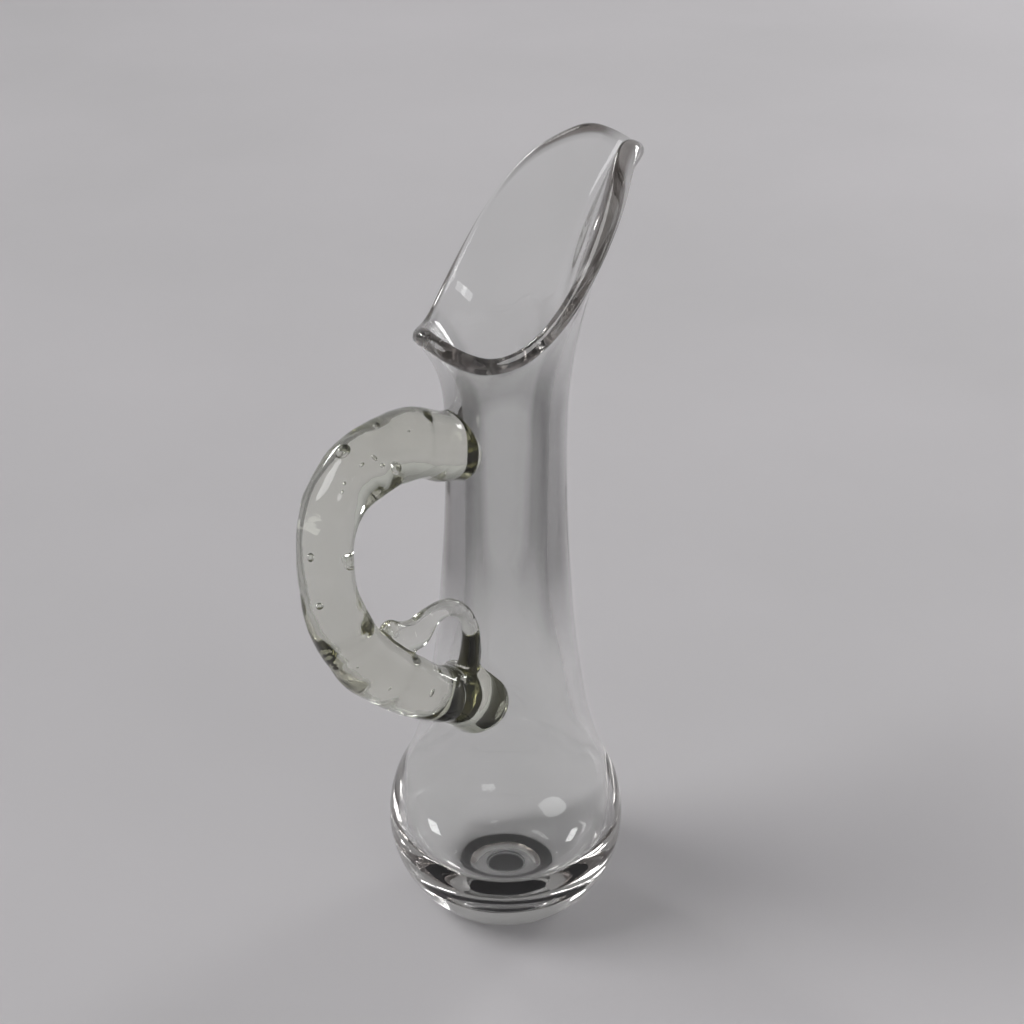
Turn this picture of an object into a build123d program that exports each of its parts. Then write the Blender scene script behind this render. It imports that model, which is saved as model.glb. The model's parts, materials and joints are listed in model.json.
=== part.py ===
from build123d import *
from math import asin, atan2, cos, exp, pi, radians, sin, sqrt
import os

# A heavy, hand-blown clear glass jug: a round bulb, a long straight neck, a flared mouth cut on a
# slant and pulled out to a spout, and a thick applied rod handle whose tail is curled into an eye.
# Millimetres. +Z is up, the spout points along +X and the handle lies on the -X side. The origin is
# the middle of the base, on the surface that the jug stands on.

# Bulb
BULB_R = 41.0            # outside radius
BULB_Z = 34.5            # height of its centre
REST_OUTER_R = 22.0      # the flat ring that the jug stands on
REST_INNER_R = 15.0
KICK_HEIGHT = 2.4        # hollow pushed up under the base
KICK_FLAT_R = 9.0        # its flat middle, which carries the punty mark
KICK_SLOPE = 0.45        # how steeply it leaves the rest ring
CAVITY_R = 36.4          # inside radius of the bulb
CAVITY_Z = 37.0          # height of the widest place inside
FLOOR_Z = 10.5           # top of the thick glass floor

# Neck
NECK_R = 19.7            # outside radius at the waist
NECK_WAIST_Z = 183.0
BORE_R = 14.0            # straight bore
BORE_BOTTOM_Z = 134.0
BORE_TOP_Z = 188.0
SHOULDER_Z = 54.0        # where the bulb's round ends and the shoulder's sweep begins
NECK_OUTLINE = ((30.0, 70.0), (25.2, 95.0), (21.8, 128.0), (20.0, 158.0))  # outside: radius, height
NECK_TOP_SLOPE = 0.03    # how much it widens per mm of height where the mouth begins
SHOULDER_INSIDE = ((24.6, 71.0), (19.4, 95.0))

# Mouth: flared wall and slanted, S-shaped rim
FLARE_RATE = 0.003       # slow widening of the upper neck, per mm of height squared
FLARE_START_Z = 190.0
FLARE_POWER = 3.0        # how late the wall turns out to meet the rim
WALL = 5.7               # glass thickness of the mouth
RIM_MEAN_R = 32.5
RIM_COSINES = (2.7, -0.5, -1.9)
SPOUT_REACH = 17.6       # how far the spout stands out of the rim's round
SPOUT_SPREAD = 0.285     # half-angle over which the spout fades, radians
SPOUT_ROUNDING = radians(9.0)
SPOUT_THICKENING = 0.4   # the drawn tip is this much thicker than the wall
RIM_LOW_Z = 215.5        # rim over the handle
RIM_RISE = 58.9          # from there up to the spout's shoulders
RISE_FROM_X = -20.9
RISE_LENGTH = 65.0
DROOP_FROM_X, DROOP_LENGTH, DROOP = 38.0, 14.0, 7.6
HEEL_FROM_X, HEEL_LENGTH, HEEL = -20.0, 12.0, 4.6

# The rim's cut, wide of the mouth on every side
RIM_CUT_XS = (-46.0, -33.0, -21.0, -8.0, 6.0, 20.0, 33.0, 44.0, 53.0, 60.0)
CLEAR_TOP_Z = 320.0
CLEAR_SIDE = 70.0

# Handle: a thick rod. Stations are (distance from the axis, height, turn round the axis in degrees,
# rod diameter), from the upper joint over the top and down to the lower joint. The turn is counted
# from -X towards -Y, because the rod was laid down a little to one side of the spout's plane.
HANDLE_STATIONS = (
    (26.5, 185.0, 6.0, 21.5),
    (41.0, 189.8, 8.0, 23.5),
    (56.0, 189.0, 9.5, 21.8),
    (68.0, 183.0, 11.0, 19.6),
    (75.5, 172.0, 13.0, 17.8),
    (78.3, 158.0, 15.0, 17.6),
    (76.5, 144.0, 17.0, 18.8),
    (70.5, 131.5, 18.6, 20.2),
    (60.5, 120.5, 20.2, 20.4),
    (49.0, 110.5, 22.4, 19.8),
    (37.5, 102.2, 25.0, 18.6),
)
ACROSS_ROD = (0.34, -0.94, 0)  # direction across the rod that starts each of its outlines

# The seals are where the hot rod was pressed on and spread: (across, height) of their footprints
UPPER_FOOT = (24.0, 26.0)
LOWER_FOOT = (25.0, 31.0)
UPPER_FOOT_AT = (13.0, 181.0, 5.0)
LOWER_FOOT_AT = (19.0, 94.5, 28.0)

# Tail of the handle, drawn up the neck and curled back on the rod, which leaves a small eye
TAIL_STATIONS = (
    (26.5, 104.0, 29.0, 8.5),
    (25.6, 113.0, 31.5, 6.8),
    (26.2, 122.0, 33.0, 6.0),
    (29.6, 130.3, 31.0, 5.6),
    (36.0, 135.0, 28.0, 5.8),
    (43.0, 134.3, 25.0, 7.0),
    (48.6, 130.2, 22.5, 10.0),
    (57.5, 134.5, 20.3, 7.8),
)

# Punty mark: the stub of glass left under the base, ground level with the rest ring
PUNTY_R = 8.0
PUNTY_EDGE = 0.6

SPOUT_THICKER_FROM_Z = 195.0
SPOUT_THICKER_LENGTH = 40.0
RUN_ON = 5.0             # how fast the wall straightens up above the rim's cut
MOUTH_HEIGHTS = (194.0, 199.0, 204.0, 208.0, 212.0, 216.0, 221.0, 228.0, 237.0, 248.0, 260.0, 272.0, 284.0)
SECTION_POINTS = 56
CROWDING = 0.45          # outline points stand closer together at the spout


def smooth_step(u):
    """0 below 0, 1 above 1, and an even S between."""
    u = min(max(u, 0.0), 1.0)
    return u * u * (3 - 2 * u)


def spout_share(turn):
    """How far the spout is drawn out at an angle from its middle, in radians: 1 there, fading to 0."""
    turn = atan2(sin(turn), cos(turn))
    away = sqrt(turn**2 + SPOUT_ROUNDING**2) - SPOUT_ROUNDING
    return exp(-away / SPOUT_SPREAD)


def rim_radius(turn):
    """Outside radius of the rim at an angle from the spout, in radians."""
    waves = sum(a * cos((k + 1) * turn) for k, a in enumerate(RIM_COSINES))
    return RIM_MEAN_R + waves + SPOUT_REACH * spout_share(turn)


def rim_height(x):
    """Height of the rim over a place along the jug: low by the handle, high and drooping at the spout."""
    rise = RIM_RISE * smooth_step((x - RISE_FROM_X) / RISE_LENGTH)
    droop = DROOP * max((x - DROOP_FROM_X) / DROOP_LENGTH, 0.0) ** 2
    heel = HEEL * max((HEEL_FROM_X - x) / HEEL_LENGTH, 0.0) ** 2
    return RIM_LOW_Z + rise - droop + heel


def neck_radius(z):
    """Outside radius of the plain upper neck."""
    return NECK_R + FLARE_RATE * max(z - NECK_WAIST_Z, 0.0) ** 2


def wall_radius(turn, z):
    """Outside radius of the mouth's wall, running on past the rim, which is cut later."""
    rim_r = rim_radius(turn)
    rim_z = rim_height(rim_r * cos(turn))
    span = rim_z - FLARE_START_Z
    extra = rim_r - neck_radius(rim_z)
    u = max(z - FLARE_START_Z, 0.0) / span
    if u <= 1:
        return neck_radius(z) + extra * u**FLARE_POWER
    slope = 2 * FLARE_RATE * (rim_z - NECK_WAIST_Z) + FLARE_POWER * extra / span
    return rim_r + slope * RUN_ON * (1 - exp(-(z - rim_z) / RUN_ON))


def mouth_section(z, wall):
    """Level outline of the mouth at one height, moved in by the wall's thickness."""
    points = []
    for k in range(SECTION_POINTS):
        even_turn = 2 * pi * k / SECTION_POINTS
        turn = even_turn - CROWDING * sin(even_turn)
        slope = wall_radius(turn, z + 0.5) - wall_radius(turn, z - 0.5)  # over 1 mm
        grown = smooth_step((z - SPOUT_THICKER_FROM_Z) / SPOUT_THICKER_LENGTH)
        thicker = 1 + SPOUT_THICKENING * spout_share(turn) * grown
        r = wall_radius(turn, z) - wall * thicker * sqrt(1 + slope**2)
        points.append((r * cos(turn), r * sin(turn), z))
    return make_face(Spline(*points, periodic=True))


def mouth_solid(start_r, wall):
    """Flared solid from the top of the straight bore to above the rim."""
    start = Plane.XY.offset(BORE_TOP_Z) * Circle(start_r)
    return loft([start] + [mouth_section(z, wall) for z in MOUTH_HEIGHTS])


def above_rim():
    """Everything above the rim's slanted, S-shaped cut."""
    cut = [(x, 0, rim_height(x)) for x in RIM_CUT_XS]
    first_x, _, first_z = cut[0]
    last_x, _, last_z = cut[-1]
    sides = Polyline(cut[-1], (last_x, 0, CLEAR_TOP_Z), (first_x, 0, CLEAR_TOP_Z), cut[0])
    return extrude(make_face([Spline(*cut), *sides.edges()]), amount=CLEAR_SIDE, both=True)


def outer_round():
    """Solid of revolution inside the outer surface, from the base to the top of the bore."""
    bulb_top_r = sqrt(BULB_R**2 - (SHOULDER_Z - BULB_Z) ** 2)
    bulb_slope = -(SHOULDER_Z - BULB_Z) / bulb_top_r
    bulb = ThreePointArc((REST_OUTER_R, 0, 0), (BULB_R, 0, BULB_Z), (bulb_top_r, 0, SHOULDER_Z))
    top = (neck_radius(BORE_TOP_Z), 0, BORE_TOP_Z)
    neck = Spline(
        (bulb_top_r, 0, SHOULDER_Z), *[(r, 0, z) for r, z in NECK_OUTLINE], top,
        tangents=[(bulb_slope, 0, 1), (NECK_TOP_SLOPE, 0, 1)],
    )
    rest = Polyline(top, (0, 0, BORE_TOP_Z), (0, 0, 0), (REST_OUTER_R, 0, 0))
    return revolve(make_face([bulb, neck, *rest.edges()]), Axis.Z)


def cavity_round():
    """The hollow of the bulb and the straight bore."""
    depth = CAVITY_Z - FLOOR_Z
    angles = [radians(d) for d in (0, 30, 60, 90)]
    floor = [(CAVITY_R * sin(a), 0, CAVITY_Z - depth * cos(a)) for a in angles]
    low = Spline(*floor, tangents=[(1, 0, 0), (0, 0, 1)])
    top_r = sqrt(CAVITY_R**2 - (SHOULDER_Z - CAVITY_Z) ** 2)
    top_slope = -(SHOULDER_Z - CAVITY_Z) / top_r
    halfway = asin((SHOULDER_Z - CAVITY_Z) / CAVITY_R) / 2
    high = ThreePointArc(
        (CAVITY_R, 0, CAVITY_Z),
        (CAVITY_R * cos(halfway), 0, CAVITY_Z + CAVITY_R * sin(halfway)),
        (top_r, 0, SHOULDER_Z),
    )
    shoulder = Spline(
        (top_r, 0, SHOULDER_Z), *[(r, 0, z) for r, z in SHOULDER_INSIDE], (BORE_R, 0, BORE_BOTTOM_Z),
        tangents=[(top_slope, 0, 1), (0, 0, 1)],
    )
    rest = Polyline(
        (BORE_R, 0, BORE_BOTTOM_Z), (BORE_R, 0, BORE_TOP_Z), (0, 0, BORE_TOP_Z), (0, 0, FLOOR_Z)
    )
    return revolve(make_face([low, high, shoulder, *rest.edges()]), Axis.Z)


def base_kick():
    """The shallow hollow under the base, inside the rest ring."""
    side = Spline(
        (REST_INNER_R, 0, 0), (KICK_FLAT_R, 0, KICK_HEIGHT), tangents=[(-1, 0, KICK_SLOPE), (-1, 0, 0)]
    )
    rest = Polyline((KICK_FLAT_R, 0, KICK_HEIGHT), (0, 0, KICK_HEIGHT), (0, 0, 0), (REST_INNER_R, 0, 0))
    return revolve(make_face([side, *rest.edges()]), Axis.Z)


def punty_mark():
    """The ground stub of glass that fills the middle of the hollow, level with the rest ring."""
    stub = Cylinder(PUNTY_R, KICK_HEIGHT, align=(Align.CENTER, Align.CENTER, Align.MIN))
    return chamfer(stub.edges().group_by(Axis.Z)[0], PUNTY_EDGE)


def place(station):
    """Point of a station given as distance from the axis, height and turn from -X towards -Y."""
    rho, z, turn = station[:3]
    return Vector(-rho * cos(radians(turn)), -rho * sin(radians(turn)), z)


def rod(stations, ends=(None, None)):
    """Round rod of changing thickness through the stations."""
    points = [place(s) for s in stations]
    path = Spline(*points)
    sections = []
    for point, station in zip(points, stations):
        at = path.param_at_point(point)
        plane = Plane(origin=point, z_dir=path % at, x_dir=ACROSS_ROD)
        sections.append(plane * Circle(station[3] / 2))
    return loft(sections), path


def seal(path, at, rod_d, foot, foot_at):
    """Spread foot of hot glass between the end of the rod and the neck, before the neck is cut from it."""
    end = Plane(origin=path @ at, z_dir=path % at, x_dir=ACROSS_ROD)
    foot_point = place(foot_at)
    toward = foot_point - (path @ at)
    foot_plane = Plane(origin=foot_point, z_dir=toward, x_dir=ACROSS_ROD)
    return loft([end * Circle(rod_d / 2), foot_plane * Ellipse(foot[0] / 2, foot[1] / 2)])


def one_solid(shape):
    """The largest solid of a shape, without slivers."""
    return max(shape.solids(), key=lambda s: s.volume)


def build():
    """Every piece of the jug, by name."""
    neck_top_r = neck_radius(BORE_TOP_Z)
    outside_below = outer_round()
    mouth_outside = mouth_solid(neck_top_r, 0.0)
    mouth_wall = mouth_outside - mouth_solid(BORE_R, WALL) - above_rim()
    body = (outside_below - cavity_round() - base_kick()) + mouth_wall
    handle, path = rod(HANDLE_STATIONS)
    upper = seal(path, 0, HANDLE_STATIONS[0][3], UPPER_FOOT, UPPER_FOOT_AT)
    upper = upper - outside_below - mouth_outside
    lower = seal(path, 1, HANDLE_STATIONS[-1][3], LOWER_FOOT, LOWER_FOOT_AT) - outside_below
    tail, _ = rod(TAIL_STATIONS)
    tail = tail - outside_below - handle - one_solid(lower)
    return {
        "blown_body": one_solid(body),
        "handle": one_solid(handle),
        "upper_handle_seal": one_solid(upper),
        "lower_handle_seal": one_solid(lower),
        "handle_tail_curl": one_solid(tail),
        "punty_mark": one_solid(punty_mark()),
    }


os.makedirs("parts", exist_ok=True)
for name, solid in build().items():
    export_step(solid, f"parts/{name}.step")
    print(name, round(solid.volume / 1000, 2), "cm3")
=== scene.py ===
"""A heavy, hand-blown clear glass jug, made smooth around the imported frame: the blown body, the handle laid
on it hot with its feet and curled tail, and the ground punty mark. Lengths are in metres, in the CAD frame.
"""

import json
import math

import bmesh
import bpy
import numpy as np
from mathutils import Matrix, Vector, noise


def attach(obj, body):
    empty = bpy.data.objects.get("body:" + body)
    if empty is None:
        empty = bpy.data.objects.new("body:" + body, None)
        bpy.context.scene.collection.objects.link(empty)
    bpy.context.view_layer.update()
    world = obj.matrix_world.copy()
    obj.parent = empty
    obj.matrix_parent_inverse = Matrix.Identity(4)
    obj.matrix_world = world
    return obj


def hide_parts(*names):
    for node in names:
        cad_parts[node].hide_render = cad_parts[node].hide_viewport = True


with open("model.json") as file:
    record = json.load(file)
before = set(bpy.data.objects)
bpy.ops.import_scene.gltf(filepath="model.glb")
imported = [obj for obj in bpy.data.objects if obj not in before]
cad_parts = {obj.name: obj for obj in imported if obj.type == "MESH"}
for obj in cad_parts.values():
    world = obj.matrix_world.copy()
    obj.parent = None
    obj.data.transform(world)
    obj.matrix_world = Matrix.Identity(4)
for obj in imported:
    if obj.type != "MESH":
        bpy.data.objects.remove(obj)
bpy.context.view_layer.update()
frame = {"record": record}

MM = 0.001
mounts = {m["name"]: m for m in frame["record"]["mounts"]}

# ---------------------------------------------------------------- sizes, as the CAD model has them

# Bulb and base
BULB_R = 41.0 * MM
BULB_Z = 34.5 * MM
REST_OUTER_R = 22.0 * MM
REST_INNER_R = 15.0 * MM
KICK_HEIGHT = 2.4 * MM
KICK_FLAT_R = 9.0 * MM
KICK_SLOPE = 0.45
PUNTY_R = 8.0 * MM
PUNTY_EDGE = 0.6 * MM
CAVITY_R = 36.4 * MM
CAVITY_Z = 37.0 * MM
FLOOR_Z = 10.5 * MM
SHOULDER_Z = 54.0 * MM

# Neck: the straight bore is the record's neck_bore
bore = mounts["neck_bore"]
BORE_R = bore["dims"]["r_mm"] * MM
BORE_BOTTOM_Z = bore["pos_m"][2] - bore["dims"]["length_mm"] * MM / 2
BORE_TOP_Z = bore["pos_m"][2] + bore["dims"]["length_mm"] * MM / 2
NECK_R = 19.7 * MM
NECK_WAIST_Z = 183.0 * MM
NECK_OUTLINE = (  # radius and height
    (30.0 * MM, 70.0 * MM),
    (25.2 * MM, 95.0 * MM),
    (21.8 * MM, 128.0 * MM),
    (20.0 * MM, 158.0 * MM),
)
NECK_TOP_SLOPE = 0.03
SHOULDER_INSIDE = ((19.4 * MM, 95.0 * MM), (24.6 * MM, 71.0 * MM))

# Mouth
FLARE_RATE = 0.003 / MM
FLARE_START_Z = 190.0 * MM
FLARE_POWER = 3.0
WALL = 5.7 * MM
WALL_GROWTH = 1.4        # the wall has grown to its full thickness at 1/1.4 of the way up to the rim
RIM_MEAN_R = 32.5 * MM
RIM_COSINES = (2.7 * MM, -0.5 * MM, -1.9 * MM)
SPOUT_REACH = 17.6 * MM
SPOUT_SPREAD = 0.285
SPOUT_ROUNDING = math.radians(9.0)
SPOUT_THICKENING = 0.4
RIM_LOW_Z = 215.5 * MM
RIM_RISE = 58.9 * MM
RISE_FROM_X = -20.9 * MM
RISE_LENGTH = 65.0 * MM
DROOP_FROM_X, DROOP_LENGTH, DROOP = 38.0 * MM, 14.0 * MM, 7.6 * MM
HEEL_FROM_X, HEEL_LENGTH, HEEL = -20.0 * MM, 12.0 * MM, 4.6 * MM

# Stations along the handle, its feet and its tail, in millimetres and degrees: distance from the axis,
# height, turn from -X towards -Y, and the rod's diameter.
HANDLE_STATIONS = (
    (26.5, 185.0, 6.0, 21.5),
    (41.0, 189.8, 8.0, 23.5),
    (56.0, 189.0, 9.5, 21.8),
    (68.0, 183.0, 11.0, 19.6),
    (75.5, 172.0, 13.0, 17.8),
    (78.3, 158.0, 15.0, 17.6),
    (76.5, 144.0, 17.0, 18.8),
    (70.5, 131.5, 18.6, 20.2),
    (60.5, 120.5, 20.2, 20.4),
    (49.0, 110.5, 22.4, 19.8),
    (37.5, 102.2, 25.0, 18.6),
)
TAIL_STATIONS = (
    (26.5, 104.0, 29.0, 8.5),
    (25.6, 113.0, 31.5, 6.8),
    (26.2, 122.0, 33.0, 6.0),
    (29.6, 130.3, 31.0, 5.6),
    (36.0, 135.0, 28.0, 5.8),
    (43.0, 134.3, 25.0, 7.0),
    (48.6, 130.2, 22.5, 10.0),
    (57.5, 134.5, 20.3, 7.8),
)
UPPER_FOOT_STATIONS = (
    (17.2, 182.4, 2.0, 22.0),
    (21.5, 183.4, 4.2, 21.8),
    (26.5, 185.0, 6.0, 21.5),
)
LOWER_FOOT_STATIONS = (
    (37.5, 102.2, 25.0, 18.6),
    (30.0, 98.6, 26.5, 21.0),
    (23.0, 95.6, 28.0, 27.0),
)

# ---------------------------------------------------------------- finish of the meshes

TURNS = 216              # columns round the body
CROWDING = 0.45          # how much closer together the columns stand at the spout
REST_EDGE = 1.6 * MM     # rounding outside the ring that the jug stands on
RIM_ROUND = 0.42         # height of the rim's rounding, as a share of the wall
ROUNDING_FROM = 0.35     # share of the mouth's height from which the walls make way for that rounding
CROWN_POWER = 0.8        # below 1, the rim's rounding is fuller than an ellipse
MOUTH_ROWS = 56
CROWN_ROWS = 13

# Rows along each stretch of the outside and the inside
KICK_ROWS = 12
REST_ROWS = 6
EDGE_ROWS = 6
BULB_ROWS = 60
NECK_ROWS = 15           # for each span between two points
BORE_ROWS = 28
SHOULDER_ROWS = 20
CAVITY_ROWS = 20
FLOOR_ROWS = 44

# Hand-blown unevenness of the body, which fades out towards the base
WAVE = 0.2 * MM
LUMP_SCALE = (26, 26, 17)
STREAK_SCALE = (2.6, 2.6, 5)
STREAK_SHARE = 0.8
INSIDE_WAVE_AT = 1.7     # the inside is uneven in its own way
WAVE_FROM_Z = 3.0 * MM
WAVE_RISE = 14.0 * MM

# The handle's runs are rods, melted into one on a core in the neck
ROD_SIDES = 40
ROD_ROWS = 12            # for each span between two stations
DOME_ANGLES = (20, 40, 60, 78)
ROD_LUMPS = (  # depth and scale of the lumps along the rod
    (1.0 * MM, 50.0),
    (0.5 * MM, 100.0),
    (0.15 * MM, 220.0),
)
LUMPS_APART = 3.0        # each run has its own lumps
FULL_LUMPS_R = 8.0 * MM  # thinner rods have lesser lumps
ACROSS_ROD = (0.34, -0.94, 0.0)
CORE_SIDES = 96
CORE_INSET = 0.8 * MM
CORE_TOP_Z = 203.0 * MM
CORE_FROM_Z = 62.0 * MM
VOXEL = 0.65 * MM        # grain of the melt
MELT_FACTOR = 0.5
MELT_STEPS = 14          # smoothing steps, which round the melted joints off
SAME_PLACE = 0.002 * MM  # vertices nearer than this are one

# Air bubbles in the handle
SEEDS = (  # the larger ones: distance from the axis, height and turn as for stations, radius, and stretch
    (50.2, 197.0, 7.0, 1.1, 1.3),
    (62.5, 193.0, 8.0, 1.7, 1.5),
    (48.3, 185.9, 8.5, 1.3, 1.4),
    (54.5, 180.5, 9.0, 1.9, 1.2),
    (71.5, 163.0, 13.0, 1.5, 2.2),
    (81.0, 168.0, 13.5, 0.9, 1.5),
    (81.5, 153.5, 16.0, 0.9, 1.2),
)
BUBBLES = 12             # the fine ones, scattered
BUBBLE_R = (0.18 * MM, 0.6 * MM)
BUBBLE_STRETCH = (1.0, 2.6)
BUBBLE_OFF = (0.1, 0.72)  # how far from the middle of the rod, as a share of its radius
BUBBLE_MARGIN = 8        # rows at each end of the handle that have no fine bubbles
BUBBLE_SEED = 11

# Chipped edge and rows of the punty mark's ground face
PUNTY_SIDES = 96
PUNTY_STEP_Z = 1.5 * MM
PUNTY_FACE_R = (6.4 * MM, 5.0 * MM, 3.5 * MM, 2.0 * MM)
PUNTY_CHIP = 1.6 * MM
CHIP_SCALE = 4
CHIP_FROM = 0.25         # only the noise above this chips the edge

# ---------------------------------------------------------------- looks

GLASS_IOR = 1.5
CLEAR_TINTS = ((0.955, 0.965, 0.955), (0.98, 0.985, 0.98))
CLEAR_ABSORBS = ((0.76, 0.74, 0.73), 14.0)  # colour and density
CLEAR_ROUGH = (0.0, 0.03)                   # clean and smeared
CLEAR_WAVE = 0.1 * MM                       # height of the waves and cords
CLEAR_STRETCH = (1, 1, 0.4)                 # they are drawn out upwards
ROD_TINTS = ((0.93, 0.945, 0.92), (0.965, 0.97, 0.95))
ROD_ABSORBS = ((0.77, 0.765, 0.65), 24.0)
ROD_ROUGH = (0.0, 0.04)
ROD_WAVE = 0.3 * MM
ROD_STRETCH = (1, 1, 0.8)
GROUND_TINTS = ((0.74, 0.77, 0.76), (0.9, 0.92, 0.91))
GROUND_ROUGH = (0.42, 0.62)
GROUND_GRAIN = 0.1 * MM
TABLE_TINTS = ((0.61, 0.595, 0.61), (0.66, 0.64, 0.66))

# Scales of the noises in the materials
TINT_SCALE = 34
SMEAR_SCALE = 60
CORD_SCALE = 48
STREAKS_SCALE = 60
HEEL_SCALE = 300
GROUND_TINT_SCALE = 900
GROUND_ROUGH_SCALE = 420
GROUND_BUMP_SCALE = 1500
TABLE_SCALE = 3.0

# Painted shade on thick glass seen aslant, for the dark bands at its edges: stops by Layer Weight's Facing, 0
# where it is seen straight on
NECK_EDGE_SHADE = ((0.0, 0.92), (0.2, 0.86), (0.3, 0.36), (0.56, 0.36), (0.7, 0.7), (1.0, 0.9))
ROD_EDGE_SHADE = ((0.0, 1.0), (0.45, 0.97), (0.66, 0.7), (0.88, 0.66), (1.0, 0.85))
NECK_SHADE_PART = ((0.1, 0.0), (0.14, 1.0), (0.195, 1.0), (0.225, 0.0))  # heights, and how much shows there

# Painted shade on the rim, which is seen on edge: a deeper colour, with streaks and clearer places
RIM_SHADE_TINTS = ((0.10, 0.085, 0.075), (0.28, 0.26, 0.24))
RIM_SHADE_FADE = (1.6 * MM, 3.2 * MM)  # distance below the rim over which the colour fades out
RIM_SHADE_DEPTHS = (  # turn from the spout in degrees, depth of the colour, and how far in it reaches, in mm
    (-180.0, 0.0, 9.0),
    (-167.0, 0.0, 9.0),
    (-160.0, 0.15, 9.0),
    (-142.0, 0.18, 9.0),
    (-138.0, 0.0, 9.0),
    (-129.0, 0.0, 9.0),
    (-125.0, 0.22, 9.0),
    (-105.0, 0.22, 9.0),
    (-100.0, 0.0, 9.0),
    (-93.0, 0.0, 9.0),
    (-89.0, 0.3, 9.0),
    (-81.0, 0.3, 9.0),
    (-78.0, 0.0, 9.0),
    (-73.0, 0.0, 9.0),
    (-69.0, 0.95, 9.0),
    (-45.0, 1.0, 9.0),
    (-14.0, 1.0, 9.0),
    (-7.0, 0.15, 9.0),
    (7.0, 0.15, 5.0),
    (14.0, 1.0, 1.0),
    (50.0, 1.0, 2.0),
    (90.0, 1.0, 3.2),
    (150.0, 1.0, 3.2),
    (165.0, 0.1, 2.0),
    (180.0, 0.0, 9.0),
)

# On the near side of the spout the painted shade lies on the rim's inner half
SIDE_MIDDLE = -40.0      # turn of the middle of this stretch
SIDE_HALF_WIDTH = 32.0
SIDE_OUTER = 2.6 * MM    # how far in the clearer outer half reaches
SIDE_CLEARER = 0.85      # how much clearer it is
SIDE_FURTHER = 0.7       # how much further down the colour runs on the inner half

# Slightly rough patch at the rim's lowest end, by the handle
HEEL_TURNS = (152.0, 192.0)
HEEL_TURN_FADE = 4.0
HEEL_FADE = (2.0 * MM, 4.0 * MM)
HEEL_ROUGH = (0.05, 0.3)

# ---------------------------------------------------------------- sizes of the studio

CAMERA_AZIMUTH = -31.0
CAMERA_ELEVATION = 28.0
CAMERA_DISTANCE = 0.7
CAMERA_TARGET_Z = 0.153
CAMERA_LENS = 75.07
CAMERA_SENSOR = 36.0
CAMERA_SHIFT = 0.006
TABLE_R = 4.0
TABLE_SIDES = 96
WORLD_STRENGTH = 1.0
WORLD_STOPS = ((0.0, 0.46), (0.05, 0.45), (0.3, 0.32), (1.0, 0.23))
KEY_FROM = (-0.7, 0.3, 0.8)
KEY_STRENGTH = 1.3
KEY_ANGLE = math.radians(34.0)
WINDOW_AIM = (0.0, 0.0, 0.14)
WINDOWS = (  # name, place, size, power and spread in degrees
    ("window_right", (2.5, 0.6, 0.6), (0.6, 0.8), 20.0, 180.0),
    ("window_front", (-0.25, -1.25, 1.0), (0.3, 0.3), 1.2, 180.0),
    ("window_back", (-1.0, 6.0, 2.15), (1.2, 1.0), 1.2, 26.0),
)

BOUNCES = 64

# Slots of the faces while the meshes are being made: CAP closes the outside at the top, for the Booleans only
GLASS, ROD_GLASS, SEAM, CAP = range(4)
SLOTS = 4

# Sockets of a colour mix
COLOUR_A, COLOUR_B, MIXED = 6, 7, 2


def smooth_step(u):
    """0 below 0, 1 above 1, and an even S between."""
    u = np.clip(u, 0.0, 1.0)
    return u * u * (3 - 2 * u)


def curve_through(points, start=None, end=None, *, per_span, dims=2):
    """Smooth curve through points, as an array. The first dims columns are the place, and the rest, such as
    a radius, run along with it. start and end are its directions there, if they matter."""
    p = np.array(points, float)
    t = np.concatenate([[0], np.cumsum(np.linalg.norm(np.diff(p, axis=0)[:, :dims], axis=1))])
    slope = np.gradient(p, t, axis=0, edge_order=2 if len(p) > 2 else 1)
    if start is not None:
        slope[0] = np.array(start, float) / np.linalg.norm(start)
    if end is not None:
        slope[-1] = np.array(end, float) / np.linalg.norm(end)
    u = np.linspace(0, 1, per_span, endpoint=False)[:, None]
    out = []
    for i in range(len(p) - 1):
        h = t[i + 1] - t[i]
        here = (1 + 2 * u) * (1 - u) ** 2 * p[i] + u * (1 - u) ** 2 * h * slope[i]
        there = u * u * (3 - 2 * u) * p[i + 1] + u * u * (u - 1) * h * slope[i + 1]
        out.append(here + there)
    return np.vstack(out + [p[-1:]])


# ---------------------------------------------------------------- shape of the blown body


def spout_share(turn):
    """How far the spout is drawn out at an angle from its middle: 1 there, fading to 0."""
    turn = np.arctan2(np.sin(turn), np.cos(turn))
    away = np.sqrt(turn**2 + SPOUT_ROUNDING**2) - SPOUT_ROUNDING
    return np.exp(-away / SPOUT_SPREAD)


def rim_radius(turn):
    """Outside radius of the rim at an angle from the spout."""
    waves = sum(a * np.cos((k + 1) * turn) for k, a in enumerate(RIM_COSINES))
    return RIM_MEAN_R + waves + SPOUT_REACH * spout_share(turn)


def rim_height(x):
    """Height of the rim's outer edge: low by the handle, high and drooping at the spout."""
    rise = RIM_RISE * smooth_step((x - RISE_FROM_X) / RISE_LENGTH)
    droop = DROOP * np.maximum((x - DROOP_FROM_X) / DROOP_LENGTH, 0.0) ** 2
    heel = HEEL * np.maximum((HEEL_FROM_X - x) / HEEL_LENGTH, 0.0) ** 2
    return RIM_LOW_Z + rise - droop + heel


def neck_radius(z):
    """Outside radius of the plain upper neck."""
    return NECK_R + FLARE_RATE * np.maximum(z - NECK_WAIST_Z, 0.0) ** 2


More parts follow.
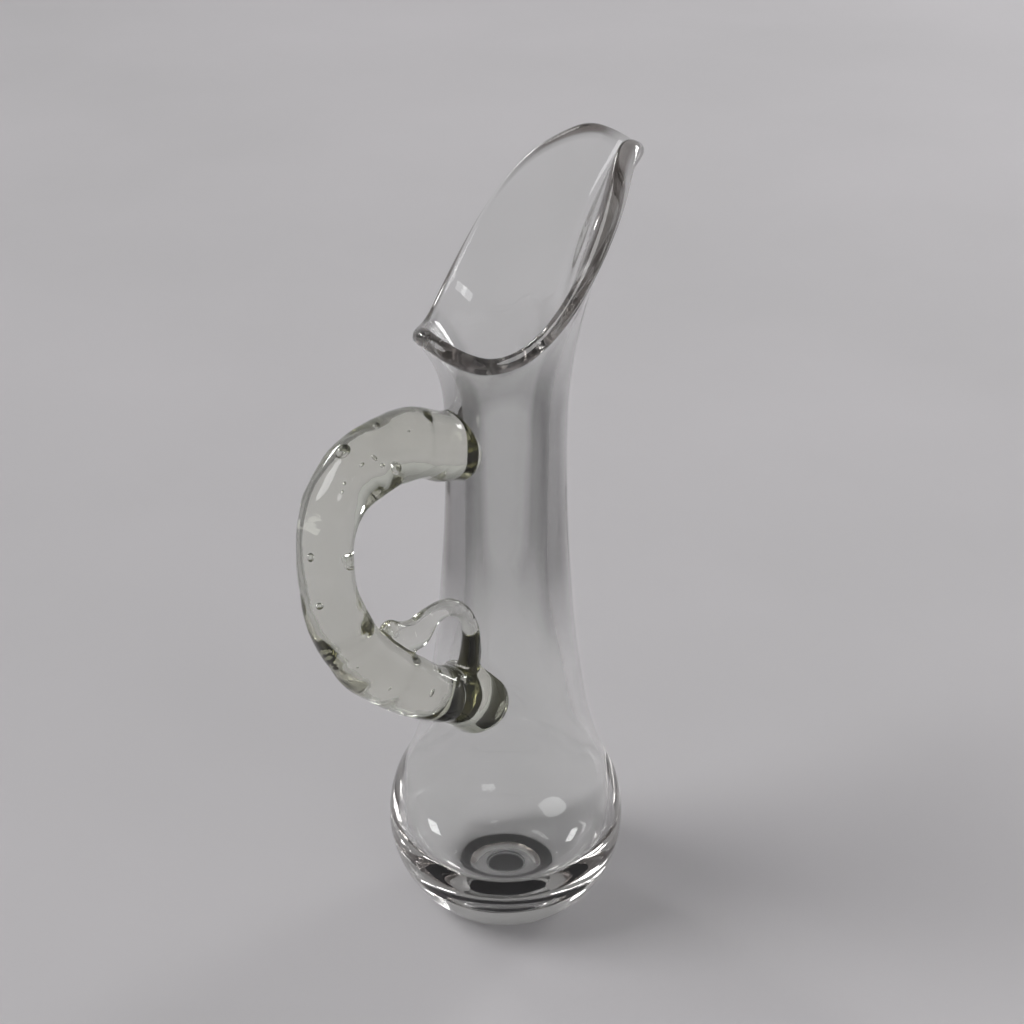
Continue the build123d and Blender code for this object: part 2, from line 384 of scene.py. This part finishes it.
def mouth_walls(turn):
    """Outer face of the mouth from the top of the bore up, the rounded rim, and the inner face down again.
    Each is an array of rows by columns by (radius, height)."""
    rim_r = rim_radius(turn)
    rim_z = rim_height(rim_r * np.cos(turn))
    extra = rim_r - neck_radius(rim_z)
    span = rim_z - FLARE_START_Z
    share = np.linspace(0, 1, MOUTH_ROWS)[:, None]
    z = BORE_TOP_Z + (rim_z - BORE_TOP_Z) * share
    u = np.maximum(z - FLARE_START_Z, 0.0) / span
    r = neck_radius(z) + extra * u**FLARE_POWER
    slope = 2 * FLARE_RATE * np.maximum(z - NECK_WAIST_Z, 0)
    slope = slope + FLARE_POWER * extra * u ** (FLARE_POWER - 1) / span
    along = np.stack([slope, np.ones_like(slope)], -1) / np.sqrt(1 + slope**2)[..., None]
    across = np.stack([-along[..., 1], along[..., 0]], -1)
    start_wall = neck_radius(BORE_TOP_Z) - BORE_R
    full_wall = WALL * (1 + SPOUT_THICKENING * spout_share(turn))
    wall = start_wall + (full_wall - start_wall) * smooth_step(share * WALL_GROWTH)
    # the walls stop short of the rim, by the height of its rounding
    back = RIM_ROUND * wall * smooth_step((share - ROUNDING_FROM) / (1 - ROUNDING_FROM))
    outer = np.stack([r, z], -1) - along * back[..., None]
    inner = outer + across * wall[..., None]
    middle = (outer[-1] + inner[-1]) / 2
    half, rise = wall[-1][:, None] / 2, RIM_ROUND * wall[-1][:, None]
    crown = [
        middle - across[-1] * half * math.cos(a) + along[-1] * rise * math.sin(a) ** CROWN_POWER
        for a in np.linspace(0, math.pi, CROWN_ROWS + 2)[1:-1]
    ]
    return outer, np.array(crown), inner[::-1]


def outer_profile():
    """Outside of the body from the edge of the punty mark to below the top of the bore."""
    kick_points = [(KICK_FLAT_R, KICK_HEIGHT), (REST_INNER_R, 0.0)]
    kick = curve_through(kick_points, (1, 0), (1, -KICK_SLOPE), per_span=KICK_ROWS)
    rest = [(r, 0.0) for r in np.linspace(REST_INNER_R, REST_OUTER_R - REST_EDGE, REST_ROWS)]
    low = math.asin((BULB_Z - REST_EDGE) / BULB_R)
    high = math.asin((SHOULDER_Z - BULB_Z) / BULB_R)
    angles = np.linspace(-low, high, BULB_ROWS)
    bulb = [(BULB_R * math.cos(a), BULB_Z + BULB_R * math.sin(a)) for a in angles]
    bulb_starts = (math.sin(low), math.cos(low))
    bulb_ends = (-math.sin(high), math.cos(high))
    edge = curve_through([rest[-1], bulb[0]], (1, 0), bulb_starts, per_span=EDGE_ROWS)
    neck_points = [bulb[-1], *NECK_OUTLINE, (neck_radius(BORE_TOP_Z), BORE_TOP_Z)]
    neck = curve_through(neck_points, bulb_ends, (NECK_TOP_SLOPE, 1), per_span=NECK_ROWS)
    return np.vstack([[(PUNTY_R, KICK_HEIGHT)], kick[:-1], rest, edge[1:-1], bulb, neck[1:-1]])


def inner_profile():
    """Inside of the body from below the top of the bore down to beside the middle of the floor."""
    bore_rows = [(BORE_R, z) for z in np.linspace(BORE_TOP_Z, BORE_BOTTOM_Z, BORE_ROWS)]
    top = math.asin((SHOULDER_Z - CAVITY_Z) / CAVITY_R)
    shoulder_points = [(BORE_R, BORE_BOTTOM_Z), *SHOULDER_INSIDE, (CAVITY_R * math.cos(top), SHOULDER_Z)]
    cavity_starts = (math.sin(top), -math.cos(top))
    shoulder = curve_through(shoulder_points, (0, -1), cavity_starts, per_span=SHOULDER_ROWS)
    angles = np.linspace(top, 0, CAVITY_ROWS)
    upper = [(CAVITY_R * math.cos(a), CAVITY_Z + CAVITY_R * math.sin(a)) for a in angles]
    depth = CAVITY_Z - FLOOR_Z
    angles = np.linspace(0, math.pi / 2, FLOOR_ROWS)
    lower = [(CAVITY_R * math.cos(a), CAVITY_Z - depth * math.sin(a)) for a in angles]
    return np.vstack([bore_rows[1:], shoulder[1:], upper[1:], lower[1:-1]])


def blown_uneven(points, inside):
    """Long, shallow waves in the glass, and upright streaks from drawing out the neck, but none at the base.
    inside is 0 on the outer rows and 1 on the inner ones."""
    out = points.copy()
    for j, row in enumerate(points):
        own = INSIDE_WAVE_AT * inside[j]
        for k, (x, y, z) in enumerate(row):
            r = math.hypot(x, y)
            lump = noise.noise((x * LUMP_SCALE[0] + own, y * LUMP_SCALE[1], z * LUMP_SCALE[2]))
            around = (x / r * STREAK_SCALE[0] + own, y / r * STREAK_SCALE[1], z * STREAK_SCALE[2])
            streak = noise.noise(around)
            fade = min(max((z - WAVE_FROM_Z) / WAVE_RISE, 0.0), 1.0)
            shift = 1 + WAVE * fade * (lump + STREAK_SHARE * streak) / r
            out[j, k, :2] = x * shift, y * shift
    return out


def body_rows():
    """Every point of the body's skin as rows by columns, and how many of the rows lie outside."""
    even = np.arange(TURNS) * 2 * math.pi / TURNS
    turn = even - CROWDING * np.sin(even)
    outer, crown, inner = mouth_walls(turn)
    below, within = (np.repeat(p[:, None, :], TURNS, axis=1) for p in (outer_profile(), inner_profile()))
    rows = np.concatenate([below, outer, crown, inner, within])
    outside = len(below) + len(outer)
    inside = smooth_step((np.arange(len(rows)) - outside) / len(crown))
    r, z = rows[..., 0], rows[..., 1]
    points = np.stack([r * np.cos(turn), r * np.sin(turn), z], -1)
    return blown_uneven(points, inside), outside


# ---------------------------------------------------------------- making meshes


def add_rows(bm, rows, slot):
    """Quads between rows of points, each of which closes on itself. Returns the rows of vertices."""
    loops = [[bm.verts.new(co) for co in row] for row in rows]
    for a, b in zip(loops, loops[1:]):
        for k in range(len(a)):
            n = (k + 1) % len(a)
            bm.faces.new((a[k], a[n], b[n], b[k])).material_index = slot
    return loops


def add_tube(bm, rows, slot):
    """Closed tube through rows of points, with a flat face at either end."""
    loops = add_rows(bm, rows, slot)
    for end in (loops[0][::-1], loops[-1]):
        bm.faces.new(end).material_index = slot


def add_fan(bm, loop, height, slot, up):
    """Closes a loop with triangles to a point on the axis."""
    tip = bm.verts.new((0, 0, height))
    for k in range(len(loop)):
        pair = (loop[k], loop[(k + 1) % len(loop)])
        bm.faces.new((*pair, tip) if up else (*reversed(pair), tip)).material_index = slot


def new_object(name, bm, materials):
    """Smooth mesh object from a bmesh."""
    mesh = bpy.data.meshes.new(name)
    bm.to_mesh(mesh)
    bm.free()
    for m in materials:
        mesh.materials.append(m)
    mesh.shade_smooth()
    obj = bpy.data.objects.new(name, mesh)
    bpy.context.scene.collection.objects.link(obj)
    return obj


def apply_modifiers(obj):
    """Gives an object the mesh that its modifiers make of it."""
    graph = bpy.context.evaluated_depsgraph_get()
    mesh = bpy.data.meshes.new_from_object(obj.evaluated_get(graph))
    old = obj.data
    obj.modifiers.clear()
    obj.data = mesh
    bpy.data.meshes.remove(old)


# ---------------------------------------------------------------- shape of the handle


def place(station):
    """Point of a station in metres, from its first three numbers."""
    rho, z, turn = station[0] * MM, station[1] * MM, math.radians(station[2])
    return (-rho * math.cos(turn), -rho * math.sin(turn), z)


def rod_line(stations):
    """The rod's middle line through its stations and its radius there: an array of (x, y, z, radius)."""
    return curve_through([(*place(s), s[3] * MM / 2) for s in stations], dims=3, per_span=ROD_ROWS)


def add_rod(bm, stations, own):
    """Closed round rod of changing thickness through the stations, with domed ends and slight lumps, which
    own makes different from the other rods'."""
    line = rod_line(stations)
    points, radii = line[:, :3], line[:, 3]
    along = np.gradient(points, axis=0)
    along /= np.linalg.norm(along, axis=1)[:, None]
    dome = [(math.sin(a), math.cos(a)) for a in np.radians(DOME_ANGLES)]
    start = [(points[0] - along[0] * radii[0] * out, radii[0] * within, along[0]) for out, within in dome]
    end = [(points[-1] + along[-1] * radii[-1] * out, radii[-1] * within, along[-1]) for out, within in dome]
    rings = [*start[::-1], *zip(points, radii, along), *end]
    side = np.array(ACROSS_ROD)
    rows = []
    for point, radius, direction in rings:
        side = side - direction * np.dot(side, direction)
        side /= np.linalg.norm(side)
        up = np.cross(direction, side)
        row = []
        for a in np.arange(ROD_SIDES) * 2 * math.pi / ROD_SIDES:
            out = side * math.cos(a) + up * math.sin(a)
            spot = point + out * radius
            lump = sum(d * noise.noise(Vector(spot * s) + Vector((own, 0, 0))) for d, s in ROD_LUMPS)
            row.append(spot + out * lump * min(1.0, radius / FULL_LUMPS_R))
        rows.append(row)
    add_tube(bm, rows, ROD_GLASS)


def add_core(bm):
    """Bar a little inside the neck, so that what is melted on to it spreads out in soft fillets."""
    profile = [(r - CORE_INSET, z) for r, z in outer_profile()[::3] if z > CORE_FROM_Z]
    profile.append((neck_radius(BORE_TOP_Z) - CORE_INSET, CORE_TOP_Z))
    turns = np.arange(CORE_SIDES) * 2 * math.pi / CORE_SIDES
    add_tube(bm, [[(r * math.cos(a), r * math.sin(a), z) for a in turns] for r, z in profile], ROD_GLASS)


def melted_handle():
    """The handle, its feet and its tail melted into one, on a core in the neck."""
    bm = bmesh.new()
    runs = (HANDLE_STATIONS, UPPER_FOOT_STATIONS, LOWER_FOOT_STATIONS, TAIL_STATIONS)
    for own, stations in enumerate(runs):
        add_rod(bm, stations, LUMPS_APART * own)
    add_core(bm)
    bmesh.ops.recalc_face_normals(bm, faces=bm.faces)
    obj = new_object("handle_melt", bm, [])
    remesh = obj.modifiers.new("melt", "REMESH")
    remesh.mode = "VOXEL"
    remesh.voxel_size = VOXEL
    smooth = obj.modifiers.new("flow", "SMOOTH")
    smooth.factor = MELT_FACTOR
    smooth.iterations = MELT_STEPS
    apply_modifiers(obj)
    return obj


# ---------------------------------------------------------------- joining them without a surface between


def cut(obj, other, operation):
    """A new bmesh of a Boolean between two objects, with their faces' slots kept."""
    boolean = obj.modifiers.new("cut", "BOOLEAN")
    boolean.operation = operation
    boolean.solver = "EXACT"
    boolean.object = other
    graph = bpy.context.evaluated_depsgraph_get()
    bm = bmesh.new()
    bm.from_mesh(obj.evaluated_get(graph).to_mesh())
    obj.modifiers.clear()
    return bm


def keep_slots(bm, slots):
    """Deletes the faces in every other slot, and what then hangs loose."""
    bmesh.ops.delete(bm, geom=[f for f in bm.faces if f.material_index not in slots], context="FACES")


def below_rim(x, y, z):
    """Turn of points of the body round the axis from the spout, and how far below the rim they lie."""
    turn = np.arctan2(y, x)
    return turn, rim_height(rim_radius(turn) * np.cos(turn)) - z


def rim_shade_depths(x, y, z):
    """How deep the rim's painted shade is at points of the body, from 0 to 1: clearer places break the band.
    """
    turn, below = below_rim(x, y, z)
    inward = rim_radius(turn) - np.hypot(x, y)
    at, depths, reach = np.array(RIM_SHADE_DEPTHS).T
    degrees = np.degrees(turn)
    depth = np.interp(degrees, at, depths)
    side = smooth_step(1 - np.abs(degrees - SIDE_MIDDLE) / SIDE_HALF_WIDTH)
    outer_half = smooth_step((SIDE_OUTER - inward) / MM)
    depth = depth * (1 - SIDE_CLEARER * side * outer_half)
    below = below * (1 - SIDE_FURTHER * side * (1 - outer_half))
    depth *= 1 - smooth_step((inward - np.interp(degrees, at, reach) * MM) / MM)
    return depth * (1 - smooth_step((below - RIM_SHADE_FADE[0]) / (RIM_SHADE_FADE[1] - RIM_SHADE_FADE[0])))


def heel_patch(x, y, z):
    """1 at points on the rim's lowest end, where the glass was sheared and pressed, fading to 0 round it."""
    turn, below = below_rim(x, y, z)
    start, end = HEEL_TURNS
    off = np.abs(np.degrees(turn) % 360 - (start + end) / 2) - (end - start) / 2
    across = 1 - smooth_step(off / HEEL_TURN_FADE)
    return across * (1 - smooth_step((below - HEEL_FADE[0]) / (HEEL_FADE[1] - HEEL_FADE[0])))


def fused_pair():
    """The blown body and the handle as two closed meshes. Where the handle is fused on, both have the same
    faces, in the seam's slot, so that light passes between them as through one glass."""
    rows, outside = body_rows()
    outer = bmesh.new()
    loops = add_rows(outer, rows[:outside], GLASS)
    add_fan(outer, loops[0], KICK_HEIGHT, SEAM, up=False)
    add_fan(outer, loops[-1], float(rows[outside - 1, :, 2].mean()), CAP, up=True)
    skin = new_object("outer_skin", outer, [None] * SLOTS)
    melt = melted_handle()
    for _ in range(SLOTS):
        melt.data.materials.append(None)
    melt.data.polygons.foreach_set("material_index", [ROD_GLASS] * len(melt.data.polygons))
    body = cut(skin, melt, "UNION")
    handle = cut(melt, skin, "DIFFERENCE")
    for f in handle.faces:
        if f.material_index != ROD_GLASS:
            f.material_index = SEAM
    # the footprint, seen from the body
    footprint = handle.copy()
    keep_slots(footprint, {SEAM})
    bmesh.ops.reverse_faces(footprint, faces=footprint.faces)
    mesh = bpy.data.meshes.new("footprint")
    footprint.to_mesh(mesh)
    footprint.free()
    # the body: its own outside, the footprint, and then the rim and the inside
    keep_slots(body, {GLASS, SEAM})
    body.from_mesh(mesh)
    bpy.data.meshes.remove(mesh)
    loops = add_rows(body, rows[outside - 1:], GLASS)
    add_fan(body, loops[-1], FLOOR_Z, GLASS, up=True)
    bmesh.ops.remove_doubles(body, verts=body.verts, dist=SAME_PLACE)
    places = np.array([v.co for v in body.verts]).T
    # the rim layer holds the painted shade at the rim; the heel layer, the rough patch
    for name, values in (("rim", rim_shade_depths(*places)), ("heel", heel_patch(*places))):
        layer = body.verts.layers.float.new(name)
        for v, value in zip(body.verts, values):
            v[layer] = value
    bpy.data.objects.remove(skin)
    bpy.data.objects.remove(melt)
    return body, handle


def largest_part(bm):
    """Deletes every loose part of a bmesh but the largest, such as crumbs left by a Boolean."""
    left, parts = set(bm.verts), []
    while left:
        stack = [left.pop()]
        part = set(stack)
        while stack:
            for e in stack.pop().link_edges:
                for v in e.verts:
                    if v not in part:
                        part.add(v)
                        left.discard(v)
                        stack.append(v)
        parts.append(part)
    biggest = max(parts, key=len)
    bmesh.ops.delete(bm, geom=[v for v in bm.verts if v not in biggest], context="VERTS")


def finished(bm, name, slots, materials):
    """Object from a bmesh whose slots are renumbered to materials, with a sharp edge round the seam."""
    for f in bm.faces:
        f.material_index = slots.index(f.material_index)
    for e in bm.edges:
        kinds = {f.material_index for f in e.link_faces}
        e.smooth = len(kinds) == 1
    return new_object(name, bm, materials)


def add_bubble(bm, at, along, size, stretch):
    """One hollow, drawn out along the rod. Its faces look inwards, as a hollow's do."""
    turned = Matrix.Translation(at) @ along.to_track_quat("Z", "Y").to_matrix().to_4x4()
    shaped = turned @ Matrix.Diagonal((size, size, size * stretch, 1))
    made = bmesh.ops.create_icosphere(bm, subdivisions=3, radius=1, matrix=shaped)
    faces = {f for v in made["verts"] for f in v.link_faces}
    for f in faces:
        f.material_index = ROD_GLASS
    bmesh.ops.reverse_faces(bm, faces=list(faces))


def add_bubbles(bm):
    """Air bubbles in the handle's glass: the larger ones in their places, and fine ones scattered."""
    rng = np.random.default_rng(BUBBLE_SEED)
    line = rod_line(HANDLE_STATIONS)
    directions = [Vector(d).normalized() for d in np.gradient(line[:, :3], axis=0)]
    for seed in SEEDS:
        at = place(seed)
        nearest = int(np.argmin(np.linalg.norm(line[:, :3] - at, axis=1)))
        add_bubble(bm, Vector(at), directions[nearest], seed[3] * MM, seed[4])
    for _ in range(BUBBLES):
        i = int(rng.integers(BUBBLE_MARGIN, len(line) - BUBBLE_MARGIN))
        off = Vector(rng.normal(size=3))
        off = (off - directions[i] * off.dot(directions[i])).normalized()
        at = Vector(line[i, :3]) + off * float(rng.uniform(*BUBBLE_OFF)) * line[i, 3]
        size = float(rng.uniform(*BUBBLE_R))
        add_bubble(bm, at, directions[i], size, float(rng.uniform(*BUBBLE_STRETCH)))


def punty_stub(materials):
    """The stub left where the iron was cracked off, ground level with the ring that the jug stands on."""
    bm = bmesh.new()
    turns = np.arange(PUNTY_SIDES) * 2 * math.pi / PUNTY_SIDES
    around = [(CHIP_SCALE * math.cos(a), CHIP_SCALE * math.sin(a), 0.0) for a in turns]
    chips = [max(0.0, noise.noise(spot) - CHIP_FROM) * PUNTY_CHIP for spot in around]
    whole = [0.0] * PUNTY_SIDES
    profile = [(PUNTY_R, z, whole) for z in (KICK_HEIGHT, PUNTY_STEP_Z, PUNTY_EDGE)]
    profile.append((PUNTY_R - PUNTY_EDGE, 0.0, chips))
    profile += [(r, 0.0, whole) for r in PUNTY_FACE_R]
    rows = [
        [((r - chip) * math.cos(a), (r - chip) * math.sin(a), z) for a, chip in zip(turns, lost)]
        for r, z, lost in profile
    ]
    loops = add_rows(bm, rows, 0)
    add_fan(bm, loops[-1], 0.0, 0, up=False)
    add_fan(bm, loops[0], KICK_HEIGHT, 1, up=True)
    bmesh.ops.recalc_face_normals(bm, faces=bm.faces)
    return new_object("punty_mark_glass", bm, materials)


# ---------------------------------------------------------------- materials


def node(tree, kind, **values):
    """A node with its settings and unlinked inputs."""
    n = tree.nodes.new(kind)
    for key, value in values.items():
        if key in n.inputs:
            n.inputs[key].default_value = value
        else:
            setattr(n, key, value)
    return n


def noise_tex(tree, scale, detail, stretch=(1, 1, 1), distortion=0.0):
    """Noise over the object's own coordinates."""
    coords = node(tree, "ShaderNodeTexCoord")
    mapping = node(tree, "ShaderNodeMapping")
    mapping.inputs["Scale"].default_value = stretch
    tex = node(tree, "ShaderNodeTexNoise", Scale=scale, Detail=detail, Distortion=distortion)
    tree.links.new(coords.outputs["Object"], mapping.inputs["Vector"])
    tree.links.new(mapping.outputs["Vector"], tex.inputs["Vector"])
    return tex.outputs["Fac"]


def ramp(tree, value, stops):
    """Colour ramp from (position, colour or grey) stops."""
    r = node(tree, "ShaderNodeValToRGB")
    elements = r.color_ramp.elements
    while len(elements) < len(stops):
        elements.new(0.5)
    for e, (at, colour) in zip(elements, stops):
        e.position = at
        e.color = (*colour, 1) if isinstance(colour, tuple) else (colour, colour, colour, 1)
    tree.links.new(value, r.inputs["Fac"])
    return r.outputs["Color"]


def new_material(name):
    """Empty node material with a Principled shader."""
    mat = bpy.data.materials.new(name)
    mat.use_nodes = True
    tree = mat.node_tree
    return mat, tree, tree.nodes["Principled BSDF"]


def mixed(tree, factor, first, second, blend="MIX"):
    """Mix of two outputs. The factor is an output too, or a number."""
    mix = node(tree, "ShaderNodeMix", data_type="RGBA", blend_type=blend)
    if isinstance(factor, float):
        mix.inputs["Factor"].default_value = factor
    else:
        tree.links.new(factor, mix.inputs["Factor"])
    tree.links.new(first, mix.inputs[COLOUR_A])
    tree.links.new(second, mix.inputs[COLOUR_B])
    return mix.outputs[MIXED]


def object_height(tree):
    """Height in the object's own coordinates."""
    coords = node(tree, "ShaderNodeTexCoord")
    split = node(tree, "ShaderNodeSeparateXYZ")
    tree.links.new(coords.outputs["Object"], split.inputs["Vector"])
    return split.outputs["Z"]


def mesh_layer(tree, name):
    """Value of one of the mesh's own layers."""
    return node(tree, "ShaderNodeAttribute", attribute_name=name).outputs["Fac"]


def uneven_tint_and_edge_shade(tree, tints, stretch, edge_shade_stops, part=1.0):
    """Slightly uneven tint of glass, with painted shade where it is seen aslant. part is how much of that
    painted shade shows.
    """
    patches = noise_tex(tree, TINT_SCALE, detail=3, stretch=stretch)
    tint = ramp(tree, patches, [(0.3, tints[0]), (0.7, tints[1])])
    facing = node(tree, "ShaderNodeLayerWeight", Blend=0.5).outputs["Facing"]
    return mixed(tree, part, tint, ramp(tree, facing, edge_shade_stops), "MULTIPLY")


def with_rim_shade(tree, tint):
    """The tint with the rim's painted shade, deeper and streaky, where the mesh's rim layer says."""
    streaks = noise_tex(tree, STREAKS_SCALE, detail=2)
    rim_shade_tint = ramp(tree, streaks, [(0.45, RIM_SHADE_TINTS[0]), (0.7, RIM_SHADE_TINTS[1])])
    return mixed(tree, mesh_layer(tree, "rim"), tint, rim_shade_tint)


def smears(tree, rough):
    """Roughness of fire-polished glass with faint smears."""
    clean, smeared = rough
    patches = noise_tex(tree, SMEAR_SCALE, detail=5, distortion=0.6)
    return ramp(tree, patches, [(0.42, clean), (0.62, clean), (0.82, smeared)])


def with_heel(tree, rough):
    """The roughness with a mottled patch where the mesh's heel layer says."""
    patches = noise_tex(tree, HEEL_SCALE, detail=3)
    mottled = ramp(tree, patches, [(0.4, HEEL_ROUGH[0]), (0.6, HEEL_ROUGH[1])])
    return mixed(tree, mesh_layer(tree, "heel"), rough, mottled)


def make_glass(tree, shader, tint, rough, wave, stretch, absorbs):
    """Finishes a shader as glass that absorbs a little, with waves and cords in its surface."""
    shader.inputs["Transmission Weight"].default_value = 1.0
    shader.inputs["IOR"].default_value = GLASS_IOR
    tree.links.new(tint, shader.inputs["Base Color"])
    tree.links.new(rough, shader.inputs["Roughness"])
    bump = node(tree, "ShaderNodeBump", Strength=1.0, Distance=wave)
    cords = noise_tex(tree, CORD_SCALE, detail=2, stretch=stretch, distortion=0.4)
    tree.links.new(cords, bump.inputs["Height"])
    tree.links.new(bump.outputs["Normal"], shader.inputs["Normal"])
    colour, density = absorbs
    volume = node(tree, "ShaderNodeVolumeAbsorption", Color=(*colour, 1), Density=density)
    tree.links.new(volume.outputs["Volume"], tree.nodes["Material Output"].inputs["Volume"])


def clear_glass():
    """The body's glass, with painted shade at the thick neck's edges and at the rim, and the rim's lowest end
    looking different.
    """
    mat, tree, shader = new_material("clear_glass")
    on_neck = ramp(tree, object_height(tree), NECK_SHADE_PART)
    tint = with_rim_shade(tree, uneven_tint_and_edge_shade(tree, CLEAR_TINTS, CLEAR_STRETCH, NECK_EDGE_SHADE, on_neck))
    rough = with_heel(tree, smears(tree, CLEAR_ROUGH))
    make_glass(tree, shader, tint, rough, CLEAR_WAVE, CLEAR_STRETCH, CLEAR_ABSORBS)
    return mat


def handle_glass():
    """The handle's slightly olive glass, with painted shade where it is seen aslant."""
    mat, tree, shader = new_material("handle_glass")
    tint = uneven_tint_and_edge_shade(tree, ROD_TINTS, ROD_STRETCH, ROD_EDGE_SHADE)
    make_glass(tree, shader, tint, smears(tree, ROD_ROUGH), ROD_WAVE, ROD_STRETCH, ROD_ABSORBS)
    return mat


def ground_glass():
    """Ground, frosted glass: rough and mottled, with a fine grain."""
    mat, tree, shader = new_material("ground_glass")
    shader.inputs["Transmission Weight"].default_value = 0.85
    shader.inputs["IOR"].default_value = GLASS_IOR
    mottle = noise_tex(tree, GROUND_TINT_SCALE, detail=4)
    tint = ramp(tree, mottle, [(0.35, GROUND_TINTS[0]), (0.65, GROUND_TINTS[1])])
    patches = noise_tex(tree, GROUND_ROUGH_SCALE, detail=3)
    rough = ramp(tree, patches, [(0.3, GROUND_ROUGH[0]), (0.7, GROUND_ROUGH[1])])
    bump = node(tree, "ShaderNodeBump", Strength=0.6, Distance=GROUND_GRAIN)
    tree.links.new(noise_tex(tree, GROUND_BUMP_SCALE, detail=5), bump.inputs["Height"])
    tree.links.new(tint, shader.inputs["Base Color"])
    tree.links.new(rough, shader.inputs["Roughness"])
    tree.links.new(bump.outputs["Normal"], shader.inputs["Normal"])
    return mat


def fused_seam():
    """Where two pieces are melted into one another there is no surface: light goes straight through."""
    mat, _, shader = new_material("fused_seam")
    shader.inputs["Alpha"].default_value = 0.0
    return mat


def floor_material():
    """Plain pale tabletop with the faintest mottle."""
    mat, tree, shader = new_material("pale_floor")
    mottle = noise_tex(tree, TABLE_SCALE, detail=4)
    tint = ramp(tree, mottle, [(0.3, TABLE_TINTS[0]), (0.7, TABLE_TINTS[1])])
    tree.links.new(tint, shader.inputs["Base Color"])
    shader.inputs["Roughness"].default_value = 0.85
    shader.inputs["Specular IOR Level"].default_value = 0.1
    return mat


# ---------------------------------------------------------------- studio


def add_window(name, at, size, power, spread):
    """Soft rectangular light turned to face a point on the jug."""
    data = bpy.data.lights.new(name, "AREA")
    data.shape = "RECTANGLE"
    data.size, data.size_y = size
    data.energy = power
    data.spread = math.radians(spread)
    light = bpy.data.objects.new(name, data)
    light.location = at
    light.rotation_euler = (Vector(at) - Vector(WINDOW_AIM)).to_track_quat("Z", "Y").to_euler()
    bpy.context.scene.collection.objects.link(light)


def add_key():
    """Broad, even light from the upper left, behind the handle."""
    data = bpy.data.lights.new("key", "SUN")
    data.energy = KEY_STRENGTH
    data.angle = KEY_ANGLE
    light = bpy.data.objects.new("key", data)
    light.rotation_euler = Vector(KEY_FROM).to_track_quat("Z", "Y").to_euler()
    bpy.context.scene.collection.objects.link(light)


def add_world():
    """Pale at the horizon, like the floor, and darker overhead, which draws the glass's edges."""
    world = bpy.data.worlds.new("studio")
    bpy.context.scene.world = world
    world.use_nodes = True
    tree = world.node_tree
    coords = node(tree, "ShaderNodeTexCoord")
    split = node(tree, "ShaderNodeSeparateXYZ")
    tree.links.new(coords.outputs["Generated"], split.inputs["Vector"])
    sky = ramp(tree, split.outputs["Z"], WORLD_STOPS)
    background = tree.nodes["Background"]
    tree.links.new(sky, background.inputs["Color"])
    background.inputs["Strength"].default_value = WORLD_STRENGTH


def add_floor():
    """Large round tabletop, level with the ring that the jug stands on."""
    bm = bmesh.new()
    bmesh.ops.create_circle(bm, cap_ends=True, segments=TABLE_SIDES, radius=TABLE_R)
    obj = new_object("floor", bm, [floor_material()])


def add_camera():
    """Camera at the viewing angle: above, and a little round on the handle's side."""
    data = bpy.data.cameras.new("camera")
    data.lens = CAMERA_LENS
    data.sensor_width = CAMERA_SENSOR
    data.shift_x = CAMERA_SHIFT
    camera = bpy.data.objects.new("camera", data)
    az, el = math.radians(CAMERA_AZIMUTH), math.radians(CAMERA_ELEVATION)
    back = Vector((math.sin(az) * math.cos(el), -math.cos(az) * math.cos(el), math.sin(el)))
    camera.location = Vector((0, 0, CAMERA_TARGET_Z)) + back * CAMERA_DISTANCE
    camera.rotation_euler = back.to_track_quat("Z", "Y").to_euler()
    bpy.context.scene.collection.objects.link(camera)
    bpy.context.scene.camera = camera


# ---------------------------------------------------------------- the scene

add_camera()
seam = fused_seam()
body_bm, handle_bm = fused_pair()
largest_part(handle_bm)
add_bubbles(handle_bm)
body = finished(body_bm, "blown_glass", (GLASS, SEAM), (clear_glass(), seam))
handle = finished(handle_bm, "applied_handle", (ROD_GLASS, SEAM), (handle_glass(), seam))
punty = punty_stub((ground_glass(), seam))

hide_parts("blown_body")
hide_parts("handle", "upper_handle_seal", "lower_handle_seal", "handle_tail_curl")
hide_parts("punty_mark")
for piece in (body, handle, punty):
    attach(piece, "root")

add_floor()
add_world()
add_key()
for window in WINDOWS:
    add_window(*window)

cycles = bpy.context.scene.cycles
cycles.max_bounces = BOUNCES
cycles.transmission_bounces = BOUNCES
cycles.transparent_max_bounces = BOUNCES
cycles.glossy_bounces = BOUNCES
cycles.use_denoising = True
bpy.context.scene.view_settings.view_transform = "Standard"
